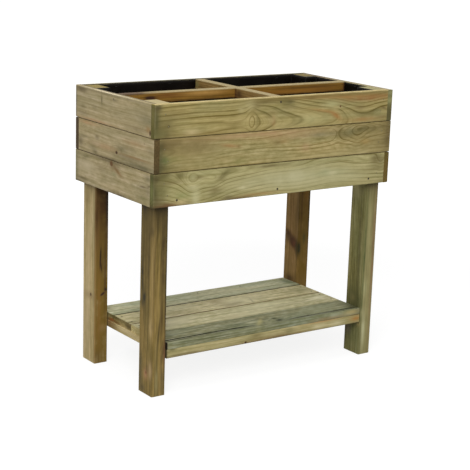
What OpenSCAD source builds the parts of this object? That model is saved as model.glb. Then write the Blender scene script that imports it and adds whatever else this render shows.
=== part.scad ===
// Raised garden bed in planed, pressure-treated softwood.
// Three rows of boards lap at the corners like a pinwheel, each row turning the other way from
// the one under it. They are nailed to four legs that stand inside the corners. Two halved bars
// mark off four compartments at the rim, a slatted floor carries a waterproof liner, and a
// boarded shelf sits between the legs. Millimetres, Z up, origin on the ground under the middle.

/* [Overall] */
// Length over the outer faces of the boards
box_l = 804; // [600:1:1200]
// Width over the outer faces of the boards
box_w = 420; // [360:1:600]
// Height from the ground to the rim
height = 800; // [650:1:950]

/* [Wall boards] */
// Thickness of a wall board
wall_t = 17; // [14:0.5:24]
// Height of one wall board
wall_h = 90; // [70:1:110]
// Open joint between two rows of boards
row_gap = 1; // [0.5:0.1:3]
// Radius of the eased long edges of the boards
board_edge_r = 2.5; // [1:0.1:4]

/* [Legs] */
// Leg section along the length of the box
leg_x = 42; // [34:1:60]
// Leg section along the width of the box
leg_y = 70; // [50:1:85]
// Depth of the leg's sawn top under the rim
leg_drop = 1; // [0:0.5:10]
// Radius of the eased edges of the legs
leg_edge_r = 3; // [1:0.1:6]

/* [Rim bars] */
// Thickness of the two crossing bars
bar_w = 28; // [20:1:40]
// Height of the two crossing bars
bar_h = 28; // [20:1:50]
// Depth of the bars' top under the rim
bar_drop = 0.5; // [0:0.5:10]
// Clearance on each cheek of the halved joint
lap_clear = 0.2; // [0.1:0.1:1]
// Radius of the eased edges of the bars
bar_edge_r = 2; // [0.5:0.1:4]

/* [Floor] */
// Width of a floor bearer
bearer_w = 28; // [20:1:40]
// Height of a floor bearer
bearer_h = 28; // [20:1:40]
// Height of the bearers above the lower edge of the lowest boards
bearer_rise = 2; // [0:0.5:10]
// Thickness of a floor board
floor_t = 17; // [12:0.5:22]
// Open joint between two floor boards, for drainage
floor_gap = 8; // [2:0.5:20]
// Clearance between a floor board's end and the timber beside it
floor_end_clear = 0.5; // [0.2:0.1:3]

/* [Liner] */
// Thickness of the liner sheet
liner_t = 0.8; // [0.4:0.1:1.5]
// Depth of the liner's edge under the rim
liner_drop = 1; // [0.5:0.5:10]
// Diameter of a drain hole in the liner
drain_d = 6; // [4:0.5:8]
// Distance between drain holes along a gap in the floor
drain_pitch = 120; // [60:5:200]

/* [Shelf] */
// Height of the shelf's top surface above the ground
shelf_top = 147; // [110:1:300]
// Thickness of a shelf board
deck_t = 19.5; // [15:0.5:25]
// Open joint between two shelf boards
deck_gap = 1; // [0.5:0.1:4]
// Distance of the shelf's back edge from the boards' line behind it
deck_back_clear = 1; // [0.5:0.5:20]
// Clearance between the shelf boards' ends and the legs
deck_end_clear = 4; // [1:0.5:8]
// Width of the battens under the front and back boards
rail_w = 38; // [25:1:50]
// Height of the battens under the front and back boards
rail_h = 25; // [18:1:40]
// Width of the cleats across the shelf's ends
cleat_w = 40; // [25:1:60]
// Height of the cleats across the shelf's ends
cleat_h = 20; // [16:1:30]
// Clearance between a cleat's end and the batten beside it
cleat_end_clear = 1; // [0.2:0.1:4]

/* [Nails] */
// Diameter of a nail's shank
nail_d = 2.8; // [2:0.1:4]
// Diameter of a nail's head
nail_head_d = 6; // [5:0.1:9]
// Thickness of a nail's head
nail_head_t = 1; // [0.6:0.1:2]
// Depth of a nail's head under the face of the wood
nail_sink = 0.3; // [0.1:0.1:1.5]
// Clearance round a nail's head in its dent
nail_head_clear = 0.3; // [0.1:0.1:1]
// Diameter of the shank of a brad, which holds a wall board to a leg
brad_d = 2; // [1.6:0.1:3]
// Diameter of a brad's head
brad_head_d = 3.2; // [2.6:0.1:6]
// Length of a brad inside the leg
brad_bite = 28; // [15:1:32]
// Length of the nails inside the end of a bar or bearer
end_nail_bite = 35; // [20:1:60]
// Length of the floor nails inside a bearer
floor_nail_bite = 18; // [10:1:19]
// Length of the shelf nails inside a batten or cleat
deck_nail_bite = 12; // [8:1:15]
// Distance of a nail from the edge of a floor or shelf board
nail_edge = 20; // [12:1:30]
// Sideways distance of a brad from the middle of the leg
brad_stagger = 5; // [0:0.5:8]

/* [Screws and staples] */
// Diameter of a shelf screw's shank
screw_d = 5; // [4:0.1:6]
// Diameter of a shelf screw's countersunk head
screw_head_d = 9.5; // [8:0.1:12]
// Length of a shelf screw inside the leg
screw_bite = 30; // [20:1:33]
// Thickness of the staple wire
staple_wire = 1.2; // [0.8:0.1:1.6]
// Width of a staple across its crown
staple_w = 10; // [8:0.5:14]
// Depth of a staple's legs from the face of the liner
staple_l = 8; // [6:0.5:11]
// Depth of the staples under the rim
staple_drop = 9; // [6:0.5:20]
// Distance of a staple from the leg beside it
staple_leg_gap = 60; // [20:1:90]
// Distance of a staple in a long side from the middle of the box
staple_mid = 105; // [40:1:150]

/* [Hidden] */

// Fineness of the round edges and of the bores
edge_fn = 24;
bore_fn = 24;
// Overshoot that lets a cut clear a face
cut = 1;

// Rows of boards, counted from the bottom, and the heights that follow from them
row_low = 0;
row_mid = 1;
row_top = 2;
rows = [row_low, row_mid, row_top];
box_h = len(rows) * wall_h + (len(rows) - 1) * row_gap;
box_bottom = height - box_h;

// The legs stand against the inner faces of the boards
inner_x = box_l / 2 - wall_t;
inner_y = box_w / 2 - wall_t;
leg_in_x = inner_x - leg_x;
leg_in_y = inner_y - leg_y;
leg_top = height - leg_drop;

// Floor, liner and rim
bearer_z = box_bottom + bearer_rise;
bearer_in_x = leg_in_x - bearer_w / 2;
floor_z = bearer_z + bearer_h;
floor_top = floor_z + floor_t;
floor_boards = 4;
floor_board_w = (2 * inner_y - (floor_boards - 1) * floor_gap) / floor_boards;
floor_pitch = floor_board_w + floor_gap;
liner_top = height - liner_drop;
bar_z = height - bar_drop - bar_h;

// Shelf, with its front edge in line with the front of the legs. Its boards are ripped to fill
// the depth between the lines of the front and back boards.
deck_boards = 4;
deck_z = shelf_top - deck_t;
deck_front = -inner_y;
deck_back = inner_y - deck_back_clear;
deck_board_w = (deck_back - deck_front - (deck_boards - 1) * deck_gap) / deck_boards;
deck_pitch = deck_board_w + deck_gap;
deck_x = leg_in_x - deck_end_clear;
cleat_front = deck_front + rail_w + cleat_end_clear;
cleat_back = deck_back - rail_w - cleat_end_clear;

// Brads: two to each board and leg, at these shares of the board's height. Those in the long
// sides and in the ends sit at other heights, so that they pass each other in the leg.
side_brad_rise = [0.34, 0.70];
end_brad_rise = [0.24, 0.80];
// Nails along each batten of the shelf
rail_nails = 5;

wood = [0.64, 0.59, 0.42];
wood_green = [0.56, 0.57, 0.45];
wood_brown = [0.47, 0.39, 0.24];
wood_bar = [0.70, 0.58, 0.38];
steel = [0.50, 0.50, 0.48];
black = [0.07, 0.06, 0.05];

// The left corner of each row: the front board laps over the end board in the lowest and the
// highest row, and the end board laps over the front board in the row between them.
function front_laps(row) = row != row_mid;
function row_z(row) = box_bottom + row * (wall_h + row_gap);

// Where board number i of the floor or of the shelf starts, counted from the front
function floor_y(i) = -inner_y + i * floor_pitch;
function deck_y(i) = deck_front + i * deck_pitch;

// A floor board that runs past a leg stops short of it, the others reach the walls
function beside_leg(i) = max(abs(floor_y(i)), abs(floor_y(i) + floor_board_w)) > leg_in_y;
function floor_x(i) = (beside_leg(i) ? leg_in_x : inner_x) - floor_end_clear;

// Section of a planed timber with eased corners, from the origin
module section(a, b, r) {
    translate([r, 0]) square([a - 2 * r, b]);
    translate([0, r]) square([a, b - 2 * r]);
    for (x = [r, a - r], y = [r, b - r])
        translate([x, y]) circle(r = r, $fn = edge_fn);
}

// Timbers that run along one axis, each from its lowest corner
module timber_x(l, w, h, r) {
    rotate([90, 0, 90]) linear_extrude(l) section(w, h, r);
}

module timber_y(l, w, h, r) {
    translate([0, l, 0]) rotate([90, 0, 0]) linear_extrude(l) section(w, h, r);
}

module timber_z(l, w, d, r) {
    linear_extrude(l) section(w, d, r);
}

// A nail driven along +Z from the face of the wood at z = 0, or the hole that it makes
module pin(l, d, head_d, hole) {
    dent = nail_sink + nail_head_t;
    if (hole) {
        translate([0, 0, -cut])
            cylinder(h = cut + dent, d = head_d + 2 * nail_head_clear, $fn = bore_fn);
        cylinder(h = l, d = d, $fn = bore_fn);
    } else {
        translate([0, 0, nail_sink]) cylinder(h = nail_head_t, d = head_d, $fn = bore_fn);
        translate([0, 0, nail_sink]) cylinder(h = l - nail_sink, d = d, $fn = bore_fn);
    }
}

module nail(l, hole) {
    pin(l, nail_d, nail_head_d, hole);
}

module brad(hole) {
    pin(wall_t + brad_bite, brad_d, brad_head_d, hole);
}

// The brads of a long side: side is -1 for the front and 1 for the back
module side_brads(side, row, hole = false) {
    for (sx = [-1, 1], i = [0, 1])
        translate([
            sx * (leg_in_x + leg_x / 2 + (i == 0 ? -brad_stagger : brad_stagger)),
            side * box_w / 2,
            row_z(row) + side_brad_rise[i] * wall_h
        ])
            rotate([side * 90, 0, 0]) brad(hole);
}

// The brads of an end: side is -1 for the left and 1 for the right
module end_brads(side, row, hole = false) {
    for (sy = [-1, 1], i = [0, 1])
        translate([
            side * box_l / 2,
            sy * (leg_in_y + leg_y / 2 + (i == 0 ? -brad_stagger : brad_stagger)),
            row_z(row) + end_brad_rise[i] * wall_h
        ])
            rotate([0, -side * 90, 0]) brad(hole);
}

// One nail into each end of the two rim bars
module bar_nails(hole = false) {
    l = wall_t + liner_t + end_nail_bite;
    z = bar_z + bar_h / 2;
    for (s = [-1, 1]) {
        translate([0, s * box_w / 2, z]) rotate([s * 90, 0, 0]) nail(l, hole);
        translate([s * box_l / 2, 0, z]) rotate([0, -s * 90, 0]) nail(l, hole);
    }
}

// One nail into each end of the three floor bearers
module bearer_end_nails(hole = false) {
    for (s = [-1, 1], x = [-bearer_in_x, 0, bearer_in_x])
        translate([x, s * box_w / 2, bearer_z + bearer_h / 2])
            rotate([s * 90, 0, 0]) nail(wall_t + end_nail_bite, hole);
}

// Two nails wherever a floor board crosses a bearer
module board_nails(hole = false) {
    for (
        i = [0 : floor_boards - 1],
        x = [-bearer_in_x, 0, bearer_in_x],
        y = [nail_edge, floor_board_w - nail_edge]
    )
        translate([x, floor_y(i) + y, floor_top])
            rotate([180, 0, 0]) nail(floor_t + floor_nail_bite, hole);
}

// Shelf nails: the middle boards into the cleats, the outer ones along their battens
module deck_nails(hole = false) {
    l = deck_t + deck_nail_bite;
    end_x = leg_in_x - cleat_w / 2;
    reach = deck_x - nail_edge;
    step = 2 * reach / (rail_nails - 1);
    for (s = [-1, 1], i = [1, deck_boards - 2], y = [nail_edge, deck_board_w - nail_edge])
        translate([s * end_x, deck_y(i) + y, shelf_top])
            rotate([180, 0, 0]) nail(l, hole);
    for (i = [0 : rail_nails - 1], y = [deck_front + rail_w / 2, deck_back - rail_w / 2])
        translate([i * step - reach, y, shelf_top])
            rotate([180, 0, 0]) nail(l, hole);
}

// A countersunk screw driven along +Z from the face of the wood at z = 0
module screw(l) {
    head_h = (screw_head_d - screw_d) / 2;
    cylinder(h = head_h, d1 = screw_head_d, d2 = screw_d, $fn = bore_fn);
    cylinder(h = l, d = screw_d, $fn = bore_fn);
}

// Four screws through the cleats into the legs, from under the shelf
module leg_screws() {
    for (sx = [-1, 1], y = [(cleat_front - leg_in_y) / 2, (cleat_back + leg_in_y) / 2])
        translate([sx * (leg_in_x - cleat_w), y, deck_z - cleat_h / 2])
            rotate([0, sx * 90, 0]) screw(cleat_w + screw_bite);
}

// A wire staple with its crown on the plane z = 0, along X, and its legs going down
module staple() {
    reach = (staple_w - staple_wire) / 2;
    translate([-reach, 0, staple_wire / 2])
        rotate([0, 90, 0]) cylinder(h = 2 * reach, d = staple_wire, $fn = bore_fn);
    for (s = [-1, 1])
        translate([s * reach, 0, -staple_l])
            cylinder(h = staple_l + staple_wire / 2, d = staple_wire, $fn = bore_fn);
}

// Staples round the rim of the liner, set clear of the legs and of the bars
module rim_staples() {
    z = height - staple_drop;
    far_x = leg_in_x - staple_leg_gap;
    far_y = leg_in_y - staple_leg_gap;
    for (s = [-1, 1]) {
        for (x = [-far_x, -staple_mid, staple_mid, far_x])
            translate([x, s * (inner_y - liner_t), z]) rotate([s * 90, 0, 0]) staple();
        for (y = [-far_y, far_y])
            translate([s * (inner_x - liner_t), y, z])
                rotate([0, -s * 90, 0]) rotate([0, 0, 90]) staple();
    }
}

// Board of a long side: side is -1 for the front and 1 for the back
module long_wall(side, row) {
    start = -box_l / 2 + (front_laps(row) == (side < 0) ? 0 : wall_t);
    face_y = side < 0 ? -box_w / 2 : box_w / 2 - wall_t;
    color(wood)
        difference() {
            translate([start, face_y, row_z(row)])
                timber_x(box_l - wall_t, wall_t, wall_h, board_edge_r);
            side_brads(side, row, hole = true);
            if (row == row_low) bearer_end_nails(hole = true);
            if (row == row_top) {
                bar_nails(hole = true);
                rim_staples();
            }
        }
}

// Board of an end: side is -1 for the left and 1 for the right
module end_wall(side, row) {
    start = -box_w / 2 + (front_laps(row) == (side < 0) ? wall_t : 0);
    face_x = side < 0 ? -box_l / 2 : box_l / 2 - wall_t;
    color(wood)
        difference() {
            translate([face_x, start, row_z(row)])
                timber_y(box_w - wall_t, wall_t, wall_h, board_edge_r);
            end_brads(side, row, hole = true);
            if (row == row_top) {
                bar_nails(hole = true);
                rim_staples();
            }
        }
}

module leg(sx, sy) {
    color(wood_brown)
        difference() {
            translate([sx < 0 ? -inner_x : leg_in_x, sy < 0 ? -inner_y : leg_in_y, 0])
                timber_z(leg_top, leg_x, leg_y, leg_edge_r);
            for (row = rows) {
                side_brads(sy, row, hole = true);
                end_brads(sx, row, hole = true);
            }
            leg_screws();
        }
}

// The lengthwise bar is halved from above, the one across from below
module rim_bar_long() {
    l = 2 * (inner_x - liner_t);
    slot = bar_w + 2 * lap_clear;
    color(wood_bar)
        difference() {
            translate([-l / 2, -bar_w / 2, bar_z]) timber_x(l, bar_w, bar_h, bar_edge_r);
            translate([-slot / 2, -bar_w / 2 - cut, bar_z + bar_h / 2])
                cube([slot, bar_w + 2 * cut, bar_h]);
            bar_nails(hole = true);
        }
}

module rim_bar_cross() {
    l = 2 * (inner_y - liner_t);
    slot = bar_w + 2 * lap_clear;
    color(wood_bar)
        difference() {
            translate([-bar_w / 2, -l / 2, bar_z]) timber_y(l, bar_w, bar_h, bar_edge_r);
            translate([-bar_w / 2 - cut, -slot / 2, bar_z - cut])
                cube([bar_w + 2 * cut, slot, bar_h / 2 + cut]);
            bar_nails(hole = true);
        }
}

module floor_bearer(sx) {
    color(wood)
        difference() {
            translate([sx * bearer_in_x - bearer_w / 2, -inner_y, bearer_z])
                timber_y(2 * inner_y, bearer_w, bearer_h, bar_edge_r);
            bearer_end_nails(hole = true);
            board_nails(hole = true);
        }
}

module floor_board(i) {
    color(wood)
        difference() {
            translate([-floor_x(i), floor_y(i), floor_z])
                timber_x(2 * floor_x(i), floor_board_w, floor_t, board_edge_r);
            board_nails(hole = true);
        }
}

// Outline of the space inside the boards and the legs, drawn in by a margin
module soil_outline(margin) {
    difference() {
        square([2 * (inner_x - margin), 2 * (inner_y - margin)], center = true);
        for (sx = [-1, 1], sy = [-1, 1])
            translate([sx * inner_x, sy * inner_y])
                square([2 * (leg_x + margin), 2 * (leg_y + margin)], center = true);
    }
}

// Drain holes through the liner, over the gaps of the floor
module drain_holes() {
    each_way = floor((leg_in_x - drain_d) / drain_pitch);
    for (i = [1 : floor_boards - 1], x = [-each_way : each_way])
        translate([x * drain_pitch, floor_y(i) - floor_gap / 2, floor_top - cut])
            cylinder(h = liner_t + 2 * cut, d = drain_d, $fn = bore_fn);
}

module liner() {
    depth = liner_top - floor_top;
    color(black)
        difference() {
            translate([0, 0, floor_top]) linear_extrude(depth) soil_outline(0);
            translate([0, 0, floor_top + liner_t]) linear_extrude(depth) soil_outline(liner_t);
            drain_holes();
            bar_nails(hole = true);
            rim_staples();
        }
}

module liner_staples() {
    color(steel) rim_staples();
}

module shelf_board(i) {
    color(wood_green)
        difference() {
            translate([-deck_x, deck_y(i), deck_z])
                timber_x(2 * deck_x, deck_board_w, deck_t, board_edge_r);
            deck_nails(hole = true);
        }
}

// Batten under the front or the back board of the shelf
module shelf_rail(sy) {
    color(wood)
        difference() {
            translate([-deck_x, sy < 0 ? deck_front : deck_back - rail_w, deck_z - rail_h])
                timber_x(2 * deck_x, rail_w, rail_h, bar_edge_r);
            deck_nails(hole = true);
        }
}

// Cleat across an end of the shelf, screwed to the legs
module shelf_cleat(sx) {
    color(wood_brown)
        difference() {
            translate([sx < 0 ? -leg_in_x : leg_in_x - cleat_w, cleat_front, deck_z - cleat_h])
                timber_y(cleat_back - cleat_front, cleat_w, cleat_h, bar_edge_r);
            deck_nails(hole = true);
            leg_screws();
        }
}

module wall_nails_long(side) {
    color(steel) for (row = rows) side_brads(side, row);
}

module wall_nails_end(side) {
    color(steel) for (row = rows) end_brads(side, row);
}

module rim_bar_nails() {
    color(steel) bar_nails();
}

module bearer_nails() {
    color(steel) bearer_end_nails();
}

module floor_nails() {
    color(steel) board_nails();
}

module shelf_nails() {
    color(steel) deck_nails();
}

module shelf_screws() {
    color(steel) leg_screws();
}

long_wall(-1, row_low);  // wall_front_low
long_wall(-1, row_mid);  // wall_front_mid
long_wall(-1, row_top);  // wall_front_top
long_wall(1, row_low);  // wall_back_low
long_wall(1, row_mid);  // wall_back_mid
long_wall(1, row_top);  // wall_back_top
end_wall(-1, row_low);  // wall_left_low
end_wall(-1, row_mid);  // wall_left_mid
end_wall(-1, row_top);  // wall_left_top
end_wall(1, row_low);  // wall_right_low
end_wall(1, row_mid);  // wall_right_mid
end_wall(1, row_top);  // wall_right_top
leg(-1, -1);  // leg_front_left
leg(1, -1);  // leg_front_right
leg(-1, 1);  // leg_back_left
leg(1, 1);  // leg_back_right
rim_bar_long();
rim_bar_cross();
floor_bearer(-1);  // floor_bearer_left
floor_bearer(0);  // floor_bearer_middle
floor_bearer(1);  // floor_bearer_right
floor_board(0);  // floor_board_front
floor_board(1);  // floor_board_mid_front
floor_board(2);  // floor_board_mid_back
floor_board(3);  // floor_board_back
liner();
liner_staples();
shelf_board(0);  // shelf_board_front
shelf_board(1);  // shelf_board_mid_front
shelf_board(2);  // shelf_board_mid_back
shelf_board(3);  // shelf_board_back
shelf_rail(-1);  // shelf_rail_front
shelf_rail(1);  // shelf_rail_back
shelf_cleat(-1);  // shelf_cleat_left
shelf_cleat(1);  // shelf_cleat_right
wall_nails_long(-1);  // wall_nails_front
wall_nails_long(1);  // wall_nails_back
wall_nails_end(-1);  // wall_nails_left
wall_nails_end(1);  // wall_nails_right
rim_bar_nails();
bearer_nails();
floor_nails();
shelf_nails();
shelf_screws();
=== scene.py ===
import math
import random

import bmesh
import bpy
from mathutils import Matrix, Vector, noise


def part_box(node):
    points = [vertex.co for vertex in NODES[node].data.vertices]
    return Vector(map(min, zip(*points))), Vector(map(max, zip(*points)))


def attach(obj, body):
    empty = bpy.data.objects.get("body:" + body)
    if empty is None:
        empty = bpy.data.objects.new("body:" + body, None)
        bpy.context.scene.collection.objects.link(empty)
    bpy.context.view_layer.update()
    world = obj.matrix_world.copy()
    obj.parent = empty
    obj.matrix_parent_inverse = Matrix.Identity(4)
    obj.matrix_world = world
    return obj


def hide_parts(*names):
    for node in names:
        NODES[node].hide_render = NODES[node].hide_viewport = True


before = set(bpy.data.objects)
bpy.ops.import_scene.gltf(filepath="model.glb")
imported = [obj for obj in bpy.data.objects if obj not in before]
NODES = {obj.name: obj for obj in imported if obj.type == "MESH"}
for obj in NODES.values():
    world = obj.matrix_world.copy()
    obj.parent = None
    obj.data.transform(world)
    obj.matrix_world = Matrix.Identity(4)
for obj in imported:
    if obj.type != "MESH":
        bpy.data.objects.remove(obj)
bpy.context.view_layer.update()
X, Y, Z = 0, 1, 2
MM_PER_M = 1000.0
# A spot of this radius, in mm, reaches over the whole timber
FAR = 10000.0

scene = bpy.context.scene


def edge(name, axis, end=False):
    """Where a piece begins along an axis, or where it ends, in mm."""
    return round(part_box(name)[1 if end else 0][axis] * MM_PER_M, 3)


RIM = edge("wall_front_top", Z, end=True)
LEG_TOP = edge("leg_front_left", Z, end=True)
SHELF_TOP = edge("shelf_board_front", Z, end=True)
# Where the legs' seen faces lie: of the front two, the back two, the left two and the right two
FORE, AFT = edge("leg_front_left", Y), edge("leg_back_left", Y)
WEST, EAST = edge("leg_back_left", X), edge("leg_back_right", X)


# Camera, solved from the photograph's own edges

def make_camera():
    pitch, roll, turn = 0.239234, 0.033902, 0.617608
    place = (-2.18267, -3.08816, 1.28984)
    frame_px, focal_px, sensor = 470.0, 1334.76, 36.0
    ahead = Vector((math.sin(turn) * math.cos(pitch), math.cos(turn) * math.cos(pitch), -math.sin(pitch)))
    level = Vector((math.cos(turn), -math.sin(turn), 0.0))
    rise = level.cross(ahead)
    right = math.cos(roll) * level + math.sin(roll) * rise
    up = -math.sin(roll) * level + math.cos(roll) * rise
    data = bpy.data.cameras.new("camera")
    data.sensor_width = sensor
    data.lens = sensor * focal_px / frame_px
    data.clip_end = 200.0
    camera = bpy.data.objects.new("camera", data)
    rows = [(right[i], up[i], -ahead[i], place[i]) for i in (X, Y, Z)]
    camera.matrix_world = Matrix((*rows, (0.0, 0.0, 0.0, 1.0)))
    scene.collection.objects.link(camera)
    scene.camera = camera


# Shader helpers

def rgb(red, green, blue):
    """A colour written as 0 to 255, for a shader."""
    def linear(c):
        c /= 255.0
        return c / 12.92 if c <= 0.04045 else ((c + 0.055) / 1.055) ** 2.4
    return (linear(red), linear(green), linear(blue), 1.0)


def node(tree, kind, sockets=None, **props):
    """A shader node. sockets hold values, or other nodes' outputs to link."""
    made = tree.nodes.new("ShaderNode" + kind)
    for key, value in props.items():
        setattr(made, key, value)
    for key, value in (sockets or {}).items():
        if isinstance(value, bpy.types.NodeSocket):
            tree.links.new(value, made.inputs[key])
        else:
            made.inputs[key].default_value = value
    return made


def calc(tree, operation, *values, clamp=False):
    return node(tree, "Math", dict(enumerate(values)), operation=operation, use_clamp=clamp).outputs[0]


def vector(tree, operation, first, second=None, out=0):
    sockets = {0: first}
    if second is not None:
        sockets["Scale" if operation == "SCALE" else 1] = second
    return node(tree, "VectorMath", sockets, operation=operation).outputs[out]


def between(tree, value, low, high, to_low=0.0, to_high=1.0):
    sockets = {0: value, 1: low, 2: high, 3: to_low, 4: to_high}
    return node(tree, "MapRange", sockets, interpolation_type="SMOOTHSTEP").outputs[0]


def mixed(tree, factor, first, second, blend="MIX"):
    return node(tree, "Mix", {0: factor, 6: first, 7: second}, data_type="RGBA", blend_type=blend).outputs[2]


def noise_of(tree, at, scale=1.0, detail=2.0, out="Fac"):
    sockets = {"Vector": at, "Scale": scale, "Detail": detail, "Roughness": 0.5}
    return node(tree, "TexNoise", sockets).outputs[out]


def new_material(name):
    """A material, its tree, its shader and the point that is shaded, in metres."""
    material = bpy.data.materials.new(name)
    material.use_nodes = True
    tree = material.node_tree
    return material, tree, tree.nodes["Principled BSDF"], node(tree, "TexCoord").outputs["Object"]


def cover(tree, shader, tone, rough, height, strength, distance):
    """Gives a shader its colour, its roughness and a bump that is distance metres high."""
    tree.links.new(tone, shader.inputs["Base Color"])
    tree.links.new(rough, shader.inputs["Roughness"])
    bumped = node(tree, "Bump", {"Strength": strength, "Distance": distance, "Height": height})
    tree.links.new(bumped.outputs[0], shader.inputs["Normal"])


def new_group(name, inputs, outputs):
    """A node group. inputs and outputs give each kind of socket its labels."""
    tree = bpy.data.node_groups.new(name, "ShaderNodeTree")
    for way, kinds in (("INPUT", inputs), ("OUTPUT", outputs)):
        for kind, labels in kinds.items():
            for label in labels.split():
                tree.interface.new_socket(label, in_out=way, socket_type="NodeSocket" + kind)
    return tree, tree.nodes.new("NodeGroupInput").outputs, tree.nodes.new("NodeGroupOutput").inputs


def spot_group():
    """How far a point lies from an ellipsoid's middle: the square, and a soft bump that falls away."""
    tree, given, made = new_group("spot", {"Vector": "Point Middle Turn Radii"}, {"Float": "Square Bump"})
    sockets = {"Vector": given["Point"], "Location": given["Middle"], "Rotation": given["Turn"]}
    sockets["Scale"] = given["Radii"]
    inside = node(tree, "Mapping", sockets, vector_type="TEXTURE").outputs[0]
    square = vector(tree, "DOT_PRODUCT", inside, inside, out="Value")
    bump = calc(tree, "EXPONENT", calc(tree, "MULTIPLY", square, -1.0))
    tree.links.new(square, made["Square"])
    tree.links.new(bump, made["Bump"])
    return tree


# Noise in the wood: cycles per mm across the grain and along it, and the detail
WANDER = (0.0, 0.0035, 1.0)
SWIRL = (0.022, 0.006, 2.0)
FIBRE = (0.9, 0.02, 3.0)
STREAK = (0.16, 0.005, 3.0)
CLOUD = (0.02, 0.005, 2.0)
MOTTLE = (0.11, 0.05, 2.0)
# One year's ring, from its early wood to the dark line of its late wood
YEAR = [(0.0, 0.45), (0.1, 0.04), (0.55, 0.1), (0.8, 0.5), (0.93, 1.0), (1.0, 0.45)]
# Dark grain turns warmer than grey by this power
WARMTH = 1.55


def timber_group():
    """Softwood as a solid. Grain is a point in mm with the log's pith as its Z axis."""
    tree, given, made = new_group(
        "timber",
        {
            "Vector": "Grain",
            "Float": "Bend Spacing Seed Wander Swirl Phase Uneven Fine Contrast Stained Streak Mottle",
            "Color": "Early Late Stain",
        },
        {"Color": "Color", "Float": "Height Rough"},
    )
    grain, seed = given["Grain"], given["Seed"]
    seeds = {0: seed, 1: calc(tree, "MULTIPLY", seed, 3.7), 2: calc(tree, "MULTIPLY", seed, 7.1)}
    shift = node(tree, "CombineXYZ", seeds).outputs[0]

    def field(kind, out="Fac"):
        across, along, detail = kind
        at = vector(tree, "ADD", vector(tree, "MULTIPLY", grain, (across, across, along)), shift)
        return noise_of(tree, at, 1.0, detail, out=out)

    def swing(kind, amount):
        """A factor round 1 that the noise moves by up to half the amount."""
        return calc(tree, "MULTIPLY_ADD", calc(tree, "SUBTRACT", field(kind), 0.5), amount, 1.0)

    # The pith wanders along the log, and the rings are never quite round
    wander = vector(tree, "SUBTRACT", field(WANDER, out="Color"), (0.5, 0.5, 0.5))
    wander = vector(tree, "SCALE", wander, given["Wander"])
    centred = vector(tree, "MULTIPLY", vector(tree, "ADD", grain, wander), (1.0, 1.0, 0.0))
    radius = vector(tree, "LENGTH", centred, out="Value")
    swirl = calc(tree, "MULTIPLY", calc(tree, "SUBTRACT", field(SWIRL), 0.5), given["Swirl"])
    pushed = calc(tree, "ADD", given["Bend"], given["Phase"])
    ring = calc(tree, "SUBTRACT", calc(tree, "ADD", radius, swirl), pushed)
    ring = calc(tree, "DIVIDE", ring, given["Spacing"])
    years = {"W": calc(tree, "ADD", ring, seed), "Scale": 0.6, "Detail": 1.0}
    uneven = node(tree, "TexNoise", years, noise_dimensions="1D").outputs[0]
    ring = calc(tree, "MULTIPLY_ADD", uneven, given["Uneven"], ring)
    ramp = node(tree, "ValToRGB", {0: calc(tree, "FRACT", ring)})
    ramp.color_ramp.interpolation = "EASE"
    for place, level in YEAR[1:-1]:
        ramp.color_ramp.elements.new(place).color = (level, level, level, 1.0)
    for end, (place, level) in ((0, YEAR[0]), (-1, YEAR[-1])):
        ramp.color_ramp.elements[end].position = place
        ramp.color_ramp.elements[end].color = (level, level, level, 1.0)
    each = node(tree, "TexWhiteNoise", {"W": calc(tree, "FLOOR", ring)}, noise_dimensions="1D").outputs[0]
    late = calc(tree, "MULTIPLY", ramp.outputs[0], calc(tree, "MULTIPLY_ADD", each, 0.55, 0.45))
    per_ring = calc(tree, "MULTIPLY_ADD", ring, 2.7, calc(tree, "MULTIPLY", each, 0.7))
    lines = between(tree, calc(tree, "PINGPONG", per_ring, 0.5), 0.28, 0.5)
    lines = calc(tree, "MULTIPLY", lines, given["Fine"])

    # Fibres and pores, long along the grain
    fibre = field(FIBRE)
    amount = calc(tree, "MULTIPLY_ADD", late, given["Contrast"], lines, clamp=True)
    tone = mixed(tree, amount, given["Early"], given["Late"])
    stained = calc(tree, "MULTIPLY", between(tree, field(CLOUD), 0.38, 0.66), given["Stained"])
    tone = mixed(tree, stained, tone, given["Stain"])
    shade = calc(tree, "MULTIPLY_ADD", fibre, 0.5, 0.75)
    shade = calc(tree, "MULTIPLY", shade, swing(STREAK, given["Streak"]))
    shade = calc(tree, "MULTIPLY", shade, swing(MOTTLE, given["Mottle"]))
    warm = calc(tree, "POWER", shade, WARMTH)
    shaded = node(tree, "CombineColor", {0: shade, 1: shade, 2: warm}).outputs[0]
    tree.links.new(mixed(tree, 1.0, tone, shaded, "MULTIPLY"), made["Color"])
    height = calc(tree, "MULTIPLY_ADD", late, 0.5, calc(tree, "MULTIPLY", fibre, 0.8))
    tree.links.new(height, made["Height"])
    tree.links.new(calc(tree, "MULTIPLY_ADD", fibre, 0.16, 0.68), made["Rough"])
    return tree


SPOT = spot_group()
TIMBER = timber_group()

# What a timber has where nothing else is said. Lengths are in mm
COMMON = dict(
    spacing=6.0, seed=0.0, contrast=0.75, stained=0.5, wander=14.0, swirl=6.0, phase=0.0, uneven=0.9,
    fine=0.15, streak=0.7, mottle=0.15,
)
PALE_KNOT, DARK_KNOT, KNOT_RIM = rgb(96, 66, 34), rgb(62, 40, 20), rgb(104, 78, 42)
# Round a knot the rings are pushed aside by this share of its size, or of this many mm, and less further out
KNOT_PUSH, KNOT_LEAST, KNOT_FALL = 0.9, 4.0, 0.22
# The wood's bump: its strength and its height in metres
GRAIN_BUMP, GRAIN_HIGH = 0.45, 0.0006


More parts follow.
